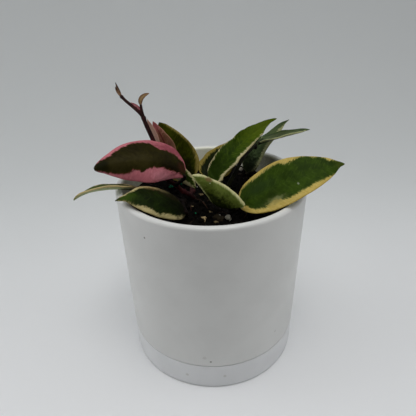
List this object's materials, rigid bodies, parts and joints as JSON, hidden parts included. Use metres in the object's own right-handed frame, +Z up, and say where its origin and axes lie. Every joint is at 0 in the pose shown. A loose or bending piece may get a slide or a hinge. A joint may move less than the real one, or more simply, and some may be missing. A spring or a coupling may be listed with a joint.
{
  "type": "potted flamingo dream hoya",
  "caption": "Variegated wax-plant cuttings with pink, cream and gold edged leaves in a white cylinder pot on a flush saucer.",
  "frame": {"origin": "centre of the saucer's flat underside, on the pot's own axis", "axes": "+Z up along the pot axis; -Y is the side that the large pink leaf and the golden leaf face"},
  "size_m": [0.1657, 0.127, 0.1964],
  "materials": {
    "white_glaze": "satin white glaze with faint specks",
    "potting_mix": "loose dark mix of peat and bark with pale perlite grains",
    "red_stem": "dark burgundy bark, slightly glossy",
    "green_stem": "olive brown bark",
    "leaf_pink": "waxy leaf, dark olive-brown with a pink edge",
    "leaf_rose": "waxy young leaf, beige pink with a darker rib",
    "leaf_olive": "waxy leaf, olive green with a yellow-beige edge",
    "leaf_green": "waxy leaf, dark green with a cream edge",
    "leaf_grey_green": "waxy leaf, greyish green with a thin pale edge",
    "leaf_golden": "waxy leaf, green with a golden-yellow edge",
    "leaf_underside": "matte pale green leaf underside with a cream edge",
    "young_growth": "beige and brown young leaf tissue"
  },
  "bodies": {
    "root": {"saucer": "white_glaze", "pot": "white_glaze", "soil": "potting_mix", "stem_shoot": "red_stem", "stem_centre": "green_stem", "stem_back": "green_stem", "stem_right": "green_stem", "stem_left": "red_stem", "leaf_pink_large": "leaf_pink", "leaf_pink_narrow": "leaf_rose", "leaf_pink_sliver": "leaf_rose", "leaf_olive_upright": "leaf_olive", "leaf_small_hanging": "leaf_green", "leaf_centre": "leaf_green", "leaf_centre_back": "leaf_olive", "leaf_back_upright": "leaf_grey_green", "leaf_back_folded": "leaf_grey_green", "leaf_right_golden": "leaf_golden", "leaf_front_pale": "leaf_underside", "leaf_left_narrow": "leaf_green", "leaf_front_left": "leaf_green", "shoot_bud": "young_growth", "shoot_leaflet": "young_growth", "shoot_leaf_pink": "leaf_rose"}
  },
  "joints": []
}
